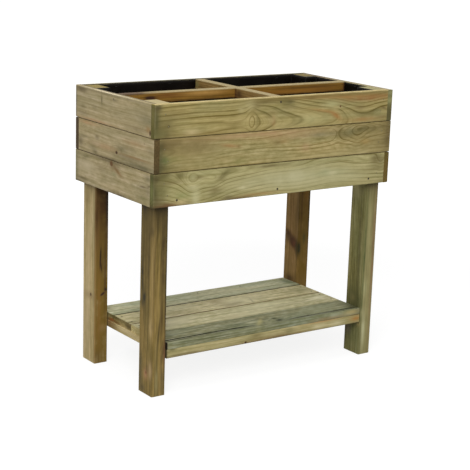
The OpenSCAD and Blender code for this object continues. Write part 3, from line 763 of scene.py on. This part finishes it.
def bar_materials():
    """The two bars at the rim."""
    bar = dict(spacing=5.0, contrast=1.0, fine=0.3, streak=1.2, mottle=0.4, stained=0.6)
    bar["end_tone"] = (0.7, 0.6, 0.45)
    roof = stains(box, (156, 140, 100, 1.3, 0, 0, RIM, FAR, FAR, 2.2))
    dress("rim_bar_long", wood(
        "rim_bar_long", X, (0.0, 30.0, 740.0), seed=31.0,
        early=(152, 112, 38), late=(88, 56, 8), stain=(122, 86, 20), **bar,
        tints=stains(
            # The first spot, along the bottom of the front face, is painted shade above the gap under the bar
            box, (60, 38, 12, 0.8, 0, -14, 772, FAR, 3, 5), (156, 104, 34, 0.7, 190, -14, 781, 110, 4, 5),
            (92, 62, 12, 0.8, 250, -14, 790, 120, 4, 4), (30, 12, 4, 1.6, -294, -14, 786, 18, 5, 5),
            (112, 66, 22, 0.7, -240, -14, 790, 50, 4, 8), (120, 78, 30, 0.5, 300, -14, 785, 60, 4, 8),
            # The dark spots at x -13 and 384 are painted shade where the bar meets the cross bar and the
            # right wall
            (200, 154, 84, 0.8, -118, -14, 792, 64, 4, 7), (66, 38, 12, 1.2, -13, -14, 785, 3.5, 6, FAR),
            (66, 36, 14, 1.1, 384, -14, 785, 6, 6, FAR),
        ) + roof + stains(box, (84, 64, 40, 1.2, -355, 0, 799.5, 62, FAR, 4)),
    ))
    dress("rim_bar_cross", wood(
        "rim_bar_cross", Y, (30.0, 0.0, 750.0), seed=33.0,
        early=(146, 116, 62), late=(88, 60, 22), stain=(114, 86, 38), **bar,
        tints=stains(
            # Both spots on the next line are painted shade where this bar meets the long bar
            box, (96, 60, 28, 1, -14, -14, 785, 6, 6, FAR), (62, 38, 10, 1.1, -14, -30, 783, 6, 16, 12),
            (150, 136, 88, 0.9, -14, -182, 785, 6, 50, 12), (126, 120, 70, 0.8, -14, 186, 785, 6, 12, 12),
        ) + roof,
    ))


# The shelf's boards

CALM = dict(contrast=0.8, fine=0.3, streak=1.15, mottle=1.0, end=1.0)
SHELF_BOARDS = {
    "shelf_board_back": dict(
        pith=(0.0, 150.0, 80.0), seed=41.0, early=(216, 212, 172), late=(156, 154, 114),
        stain=(180, 186, 152), stained=0.7, end_tone=(0.8, 0.7, 0.5), **CALM,
        tints=stains(
            upper, (224, 220, 184, 0.4, 90, 150, 120, 26), (112, 122, 90, 0.9, 326, 140, 20, 40),
            (140, 138, 104, 0.5, -190, 120, 60, 12), (226, 226, 198, 0.7, -54, 146, 18, 10),
        ),
    ),
    "shelf_board_mid_back": dict(
        pith=(0.0, 40.0, 90.0), seed=43.0, early=(222, 212, 166), late=(164, 150, 104),
        stain=(192, 182, 136), end_tone=(0.8, 0.7, 0.5), **CALM,
        tints=stains(
            upper, (120, 98, 60, 0.8, 20, 22, 30, 14), (150, 126, 84, 0.5, 0, 62, 30, 30),
            (124, 108, 70, 0.7, 100, 28, 3, 26, -20), (146, 142, 98, 0.6, 300, 50, 50, 26),
            (128, 118, 80, 0.7, -332, 15, 26, 10), (238, 228, 188, 1.2, -214, 10, 20, 9),
            (232, 226, 188, 0.7, -140, 66, 56, 18), (238, 232, 192, 0.5, 70, 40, 100, 36),
            (150, 140, 100, 0.6, 49, 28, 20, 9),
        ),
    ),
    "shelf_board_mid_front": dict(
        pith=(0.0, -60.0, 85.0), seed=45.0, early=(216, 208, 164), late=(160, 152, 108),
        stain=(186, 180, 136), end_tone=(0.9, 0.82, 0.64), **CALM,
        tints=stains(
            upper, (240, 234, 194, 0.6, 90, -36, 100, 24), (180, 152, 108, 0.5, -40, -80, 40, 12),
            (236, 230, 188, 0.6, 10, -80, 150, 14), (128, 112, 76, 0.6, -352, -50, 20, 34),
            (246, 240, 210, 1.2, -239, -36, 18, 12), (246, 240, 204, 0.8, 296, -45, 26, 12),
            (240, 234, 192, 0.8, -260, -76, 42, 24), (244, 236, 196, 1, -218, -36, 46, 20),
            (232, 224, 184, 0.6, -190, -28, 60, 16),
        ),
    ),
    "shelf_board_front": dict(
        pith=(0.0, -150.0, 95.0), seed=47.0, early=(160, 158, 122), late=(98, 98, 64),
        stain=(128, 134, 104), stained=0.7, contrast=0.9, fine=0.3, streak=1.5, mottle=1.2,
        end_tone=(0.5, 0.46, 0.34), end=1.0,
        bends=spots(upper, (12, 50, -168, 50, 20, 8)),
        tints=stains(
            # Painted shade along the two drying cracks
            upper, (*CRACK_SHADE, 1.5, -300, -173, 60, 4.2, 1), (*CRACK_SHADE, 1.8, -205, -173, 70, 4.2),
            (*CRACK_SHADE, 1.8, -110, -175, 60, 4.2, -3), (*CRACK_SHADE, 1.5, 150, -178, 50, 4),
            (*CRACK_SHADE, 1.8, 250, -178.5, 60, 4.2), (*CRACK_SHADE, 1.6, 330, -180, 40, 4.6),
            (*DIRT, 0.9, -300, -184, 70, 3, 2), (*DIRT, 0.7, 230, -187, 80, 2.5),
            lip, (84, 90, 58, 1, -230, 141, 110, 1.8, 1), (96, 100, 62, 0.9, 60, 137, 140, 1.6, -1),
            (104, 100, 60, 0.8, -120, 133, 120, 1.6, 1), (142, 118, 78, 0.9, 226, 133, 56, 5),
            (176, 160, 108, 0.9, 314, 139, 36, 8), (124, 98, 56, 0.9, 322, 129, 26, 1.6),
            box, (104, 106, 72, 0.7, 60, -190, 145, 200, 4, 2.5),
            lip, (176, 178, 148, 0.6, 240, 140, 20, 7), (80, 84, 52, 0.7, -200, 146.5, 70, 1.6),
            upper, (46, 50, 28, 1.1, 56, -172, 14, 9, 30), (60, 64, 38, 1, 50, -153, 9, 6),
            (170, 168, 134, 0.8, -290, -116, 40, 12), (66, 64, 36, 0.8, 100, -180, 40, 4, 10),
            (54, 50, 24, 0.7, 14, -140, 10, 14, 60), (176, 168, 116, 1.1, -6, -160, 34, 7, 48),
            (60, 60, 30, 0.9, 336, -165, 16, 26), (80, 80, 48, 0.7, 326, -150, 22, 28),
            (180, 178, 140, 0.4, 215, -140, 70, 36), (204, 202, 166, 0.7, -27, -152, 20, 9),
            (98, 98, 64, 0.6, -200, -188, 130, 5), (112, 112, 78, 0.6, 0, -189, 90, 5),
            # Painted shade: the shadow in the gap between this board's left end and the front left leg
            box, (*GAP_SHADE, 1.3, -339, -160, 138, 2.4, FAR, FAR),
        ),
    ),
}


def shelf_board_materials():
    joints = stains(
        upper,
        (50, 46, 24, 1.1, 0, 97, FAR, 3.4), (100, 82, 44, 1.15, 0, -0.5, FAR, 3.2),
        (104, 98, 62, 0.6, 0, -95, FAR, 2.2),
    )
    ends = stains(
        box,
        (124, 104, 62, 1.4, -339, 100, 130, 3, 50, 8), (106, 100, 62, 1.1, -339, 90, 144, 2.5, 90, 7),
        (96, 88, 56, 1, -339, 4, 137, 2.5, 34, 8), (154, 96, 50, 0.9, -339, 106, 132, 3, 12, 4.5),
    )
    for name, facts in SHELF_BOARDS.items():
        look = {**facts, "tints": facts["tints"] + joints + (ends if "back" in name else [])}
        dress(name, wood(name, X, **look))


def batten_materials():
    """The shelf's front batten and its left cleat."""
    narrow = dict(spacing=5.0, streak=1.1, mottle=0.4)
    dress("shelf_rail_front", wood(
        "shelf_rail_front", X, (0.0, -150.0, 70.0), seed=51.0, contrast=0.7,
        early=(180, 168, 118), late=(128, 110, 64), stain=(148, 142, 92), **narrow,
        knots=spots(batten, (1, -77, 106, 3.4, 3.4)),
        tints=stains(
            batten, (168, 118, 54, 1, 326, 117, 22, 8), (176, 132, 84, 0.7, 200, 127, 60, 3),
            (124, 104, 64, 1, 20, 104, 110, 9), (214, 204, 162, 0.5, 184, 114, 24, 7),
            (104, 100, 60, 0.8, -322, 127, 14, 6), (108, 94, 62, 0.6, -280, 107, 60, 4),
            (114, 102, 60, 0.6, -40, 121, 22, 8), (110, 106, 64, 0.6, 80, 118, 15, 10),
            (96, 80, 48, 0.9, 0, 101.5, FAR, 3.6), (214, 204, 162, 0.6, 254, 113, 26, 7),
            # Painted shade: the shadow in the gap between the batten's left end and the front left leg
            box, (*GAP_SHADE, 1.3, -343, -193, 108, 5, FAR, FAR),
        ),
    ))
    dress("shelf_cleat_left", wood(
        "shelf_cleat_left", Y, (-320.0, 0.0, 80.0), seed=53.0, contrast=0.8,
        early=(190, 172, 120), late=(134, 110, 66), stain=(160, 142, 92), **narrow,
        tints=stains(
            cleat, (150, 92, 52, 0.8, 112, 125, 12, 4), (208, 190, 144, 0.7, 24, 122, 46, 7),
            # The dark strip at y 126 is painted shade in the slit beside the back left leg
            (108, 82, 44, 1, 102, 118, 28, 16), (60, 44, 20, 1, 126, 108, 5, FAR),
        ),
    ))


def hidden_materials():
    """Timbers that the camera hardly sees."""
    rng = random.Random(5)
    timbers = [("shelf_rail_back", X), ("shelf_cleat_right", Y)]
    timbers += [(f"floor_bearer_{place}", Y) for place in ("left", "middle", "right")]
    timbers += [(f"floor_board_{place}", X) for place in ("front", "mid_front", "mid_back", "back")]
    for name, along in timbers:
        low, high = (MM_PER_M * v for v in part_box(name))
        pith = list((low + high) / 2)
        pith[along] = 0.0
        pith[1 - along] += rng.uniform(-15.0, 15.0)
        pith[Z] -= rng.uniform(35.0, 70.0)
        knots = []
        if "board" in name:
            for _ in range(rng.choice((1, 2, 3))):
                size = rng.uniform(4.0, 9.0)
                at = (rng.uniform(low.x + 60, high.x - 60), rng.uniform(low.y + 18, high.y - 18), 0.0)
                knots.append((*box(*at, size * 1.3, size, FAR), rng.choice((0.8, 1.0))))
        dress(name, wood(
            name, along, tuple(pith), spacing=rng.uniform(5.0, 7.0), seed=rng.uniform(100.0, 200.0),
            contrast=0.7, early=rng.choice((TAN, STRAW)), late=TAN_LATE, stain=GREEN, knots=knots,
        ))


def steel_material(name, pale, dark, soiled, share):
    """Galvanised steel, dulled by the weather and by the treatment."""
    material, tree, shader, place = new_material(name)
    spangle = node(tree, "TexVoronoi", {"Vector": place, "Scale": 900.0}).outputs["Color"]
    grey = node(tree, "RGBToBW", {0: spangle}).outputs[0]
    dirt = between(tree, noise_of(tree, place, 300.0, 3.0), 0.35, 0.65)
    tone = mixed(tree, grey, rgb(*dark), rgb(*pale))
    tone = mixed(tree, calc(tree, "MULTIPLY", dirt, share), tone, rgb(*soiled))
    # Heads in the left boards are paler
    side = node(tree, "SeparateXYZ", {0: place}).outputs["X"]
    tone = mixed(tree, between(tree, side, -0.37, -0.39, 0.0, 0.6), tone, rgb(150, 136, 104))
    cover(tree, shader, tone, calc(tree, "MULTIPLY_ADD", dirt, 0.3, 0.45), grey, 0.3, 0.0002)
    shader.inputs["Metallic"].default_value = 0.35
    return material


def dress_fasteners():
    nails = steel_material("nail_steel", (92, 82, 58), (66, 58, 38), (48, 36, 18), 0.7)
    brads = steel_material("brad_steel", (140, 132, 100), (122, 114, 84), (112, 98, 66), 0.6)
    staples = steel_material("staple_steel", (44, 42, 38), (30, 28, 24), (24, 18, 12), 0.6)
    for name in NODES:
        if name.startswith("wall_nails"):
            dress(name, brads)
        elif name.endswith("staples"):
            dress(name, staples)
        elif name.endswith(("nails", "screws")):
            dress(name, nails)


# Liner: a black sheet that lies in folds round the legs

def liner_material():
    material, tree, shader, place = new_material("liner_sheet")
    fine = noise_of(tree, place, 900.0, 2.0)
    dust = between(tree, noise_of(tree, place, 14.0, 4.0), 0.45, 0.8)
    tone = mixed(tree, calc(tree, "MULTIPLY", dust, 0.5), rgb(8, 5, 2), rgb(20, 14, 6))
    cover(tree, shader, tone, calc(tree, "MULTIPLY_ADD", dust, 0.2, 0.55), fine, 0.35, 0.0003)
    shader.inputs["Specular IOR Level"].default_value = 0.08
    return material


def even_steps(start, end, step):
    """Numbers from start to end, evenly spaced and about step apart."""
    count = max(1, round((end - start) / step))
    return [start + (end - start) * i / count for i in range(count + 1)]


def liner_net():
    """The floor and the walls of the sheet as one net: its points, its faces, which way each wall point faces
    inward, and the sizes that the folds follow. In metres."""
    low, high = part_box("liner")
    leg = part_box("leg_front_right")
    cell = 0.006
    gap = 0.0009
    far_x, far_y = high.x - gap, high.y - gap
    leg_x, leg_y = leg[0].x - gap, -leg[1].y - gap
    base, rim = low.z + 0.0005, high.z - 0.0006

    def steps(far, corner):
        middle = even_steps(-corner, corner, cell)[1:]
        return even_steps(-far, -corner, cell) + middle + even_steps(corner, far, cell)[1:]

    xs, ys, zs = steps(far_x, leg_x), steps(far_y, leg_y), even_steps(base, rim, cell)

    def in_leg(i, j):
        return abs(xs[i] + xs[i + 1]) / 2 > leg_x and abs(ys[j] + ys[j + 1]) / 2 > leg_y

    cells = {(i, j) for i in range(len(xs) - 1) for j in range(len(ys) - 1) if not in_leg(i, j)}
    points, index, faces = [], {}, []

    def point(i, j, k):
        if (i, j, k) not in index:
            index[i, j, k] = len(points)
            points.append(Vector((xs[i], ys[j], zs[k])))
        return index[i, j, k]

    inward = {}
    for i, j in sorted(cells):
        faces.append([point(i, j, 0), point(i + 1, j, 0), point(i + 1, j + 1, 0), point(i, j + 1, 0)])
        for (di, dj), (a, b) in (
            ((-1, 0), ((i, j), (i, j + 1))), ((1, 0), ((i + 1, j + 1), (i + 1, j))),
            ((0, -1), ((i + 1, j), (i, j))), ((0, 1), ((i, j + 1), (i + 1, j + 1))),
        ):
            if (i + di, j + dj) in cells:
                continue
            for k in range(len(zs) - 1):
                faces.append([point(*a, k), point(*a, k + 1), point(*b, k + 1), point(*b, k)])
            for k in range(len(zs)):
                for corner in (a, b):
                    push = inward.setdefault(point(*corner, k), Vector((0.0, 0.0, 0.0)))
                    push -= Vector((di, dj, 0.0))
    return points, faces, inward, (far_x, far_y, leg_x, leg_y, base, rim)


def make_liner():
    """The net, pushed into folds: soft waves everywhere, pleats beside the legs, flat under the bars."""
    points, faces, inward, (far_x, far_y, leg_x, leg_y, base, rim) = liner_net()
    wave_high, crease_high, pleat_high = 0.0022, 0.003, 0.0055
    pleat_wide, pleat_lean = 0.005, 0.012
    bar_half, bar_deep = 0.024, 0.05
    thickness = 0.0006
    pleats = [(leg_x - 0.03, far_y), (leg_x - 0.11, far_y), (far_x, leg_y - 0.025), (far_x, leg_y - 0.07)]
    for at, p in enumerate(points):
        rise = (p.z - base) / (rim - base)
        wave = noise.noise(Vector((p.x * 14.0, p.y * 14.0, p.z * 9.0))) + 0.5 * noise.noise(p * 34.0)
        crease = abs(noise.noise(Vector((p.x * 9.0 + 3.0, p.y * 9.0, p.z * 16.0))))
        lift = wave_high * max(0.0, 0.45 + wave) + crease_high * max(0.0, 1.0 - crease * 9.0)
        if at not in inward:
            points[at] = p + Vector((0.0, 0.0, lift))
            continue
        for x, y in pleats:
            along = abs(abs(p.x) - x) if y == far_y else abs(abs(p.y) - y)
            beside = abs(p.y) > far_y - 0.001 if y == far_y else abs(p.x) > far_x - 0.001
            if beside:
                away = (along - pleat_lean * (1.0 - rise)) / pleat_wide
                lift += pleat_high * math.exp(-away ** 2) * (1.0 - 0.8 * rise)
        calm = min(1.0, (1.0 - rise) * 5.0 + 0.25)
        over_bar = min(abs(p.x), abs(p.y)) < bar_half and p.z > rim - bar_deep
        points[at] = p + inward[at].normalized() * (0.0 if over_bar else lift * calm)

    mesh = bpy.data.meshes.new("liner_sheet")
    mesh.from_pydata(points, [], faces)
    mesh.polygons.foreach_set("use_smooth", [True] * len(mesh.polygons))
    mesh.update()
    sheet = bpy.data.objects.new("liner_sheet", mesh)
    scene.collection.objects.link(sheet)
    mesh.materials.append(liner_material())
    thick = sheet.modifiers.new("thickness", "SOLIDIFY")
    thick.thickness = thickness
    thick.offset = 0.0
    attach(sheet, "root")
    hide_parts("liner")


def crack(name, level, path):
    """A drying crack, cut into a board's upper face as a thin wedge. path holds (x, y, width) in mm."""
    above, deepest = 1.0, 11.0
    points, faces = [], []
    for x, y, width in path:
        bottom = level - deepest * min(1.0, width / 2.0 + 0.1)
        corners = ((x, y - width / 2, level + above), (x, y + width / 2, level + above), (x, y, bottom))
        points += [Vector(corner) / MM_PER_M for corner in corners]
    for a in range(0, 3 * (len(path) - 1), 3):
        b = a + 3
        faces += [(a, a + 1, b + 1, b), (a + 1, a + 2, b + 2, b + 1), (a + 2, a, b, b + 2)]
    last = 3 * (len(path) - 1)
    faces += [(0, 2, 1), (last, last + 1, last + 2)]
    mesh = bpy.data.meshes.new("crack")
    mesh.from_pydata(points, [], faces)
    shape = bmesh.new()
    shape.from_mesh(mesh)
    bmesh.ops.recalc_face_normals(shape, faces=shape.faces)
    shape.to_mesh(mesh)
    shape.free()
    cutter = bpy.data.objects.new("crack", mesh)
    scene.collection.objects.link(cutter)
    cutter.hide_render = True
    cutter.hide_viewport = True
    piece = NODES[name]
    if "weld" not in piece.modifiers:
        piece.modifiers.new("weld", "WELD").merge_threshold = 0.00001
    cut = piece.modifiers.new("crack", "BOOLEAN")
    cut.object = cutter
    cut.operation = "DIFFERENCE"
    cut.solver = "EXACT"


def cut_cracks():
    for path in (
        [
            (-345, -175, 3.0), (-325, -174, 3.6), (-290, -173, 4.2), (-261, -172, 3.6), (-225, -173, 4.4),
            (-184, -172, 3.8), (-145, -173, 4.2), (-110, -174, 3.4), (-84, -176, 2.6), (-61, -178, 1.6),
            (-42, -180, 0.2),
        ],
        [
            (70, -182, 0.2), (110, -178, 2.0), (140, -176, 3.4), (182, -175, 3.8), (220, -176, 3.2),
            (254, -177, 4.2), (290, -178, 3.6), (318, -178, 4.2), (345, -179, 3.6),
        ],
    ):
        crack("shelf_board_front", SHELF_TOP, path)


# Studio

def make_studio():
    half = 60.0
    mesh = bpy.data.meshes.new("floor")
    corners = [(-half, -half, 0), (half, -half, 0), (half, half, 0), (-half, half, 0)]
    mesh.from_pydata(corners, [], [(0, 1, 2, 3)])
    floor = bpy.data.objects.new("floor", mesh)
    # Just under the feet, so that the two never share a plane
    floor.location.z = -0.0004
    scene.collection.objects.link(floor)

    def seen(tree):
        path = node(tree, "LightPath").outputs
        rays = calc(tree, "ADD", path["Is Camera Ray"], path["Is Glossy Ray"])
        return calc(tree, "ADD", rays, path["Is Transmission Ray"], clamp=True)

    # The floor shows nearly white, and brighter further away, but lights the object as a grey one
    white = (1.0, 1.0, 1.0, 1.0)
    material, tree, shader, place = new_material("floor")
    tree.nodes.remove(shader)
    plain = node(tree, "BsdfDiffuse", {"Color": (0.5, 0.5, 0.5, 1.0)}).outputs[0]
    pale = node(tree, "BsdfDiffuse", {"Color": (0.2, 0.2, 0.2, 1.0)}).outputs[0]
    level = between(tree, vector(tree, "LENGTH", place, out="Value"), 1.2, 2.6, 0.86, 1.0)
    glow = node(tree, "Emission", {"Color": white, "Strength": level}).outputs[0]
    shown = node(tree, "AddShader", {0: pale, 1: glow}).outputs[0]
    both = node(tree, "MixShader", {0: seen(tree), 1: plain, 2: shown}).outputs[0]
    tree.links.new(both, tree.nodes["Material Output"].inputs["Surface"])
    mesh.materials.append(material)

    world = bpy.data.worlds.new("studio")
    scene.world = world
    world.use_nodes = True
    tree = world.node_tree
    ground = tree.nodes["Background"]
    ground.inputs["Color"].default_value = white
    ground.inputs["Strength"].default_value = 0.34
    shown = node(tree, "Background", {"Color": white, "Strength": 1.0}).outputs[0]
    both = node(tree, "MixShader", {0: seen(tree), 1: ground.outputs[0], 2: shown}).outputs[0]
    tree.links.new(both, tree.nodes["World Output"].inputs["Surface"])

    middle = Vector((0.0, 0.0, 0.45))
    for name, place, width, power in (
        ("light_over", (-0.3, -0.2, 3.6), 2.0, 42.0),
        ("light_key", (-3.3, -3.9, 3.75), 3.0, 252.0),
    ):
        data = bpy.data.lights.new(name, "AREA")
        data.shape = "SQUARE"
        data.size = width
        data.energy = power
        lamp = bpy.data.objects.new(name, data)
        lamp.location = place
        lamp.rotation_euler = (middle - Vector(place)).to_track_quat("-Z", "Y").to_euler()
        scene.collection.objects.link(lamp)


wall_materials()
leg_materials()
bar_materials()
shelf_board_materials()
batten_materials()
hidden_materials()
dress_fasteners()
make_liner()
cut_cracks()
make_camera()
make_studio()
scene.view_settings.view_transform = "Standard"
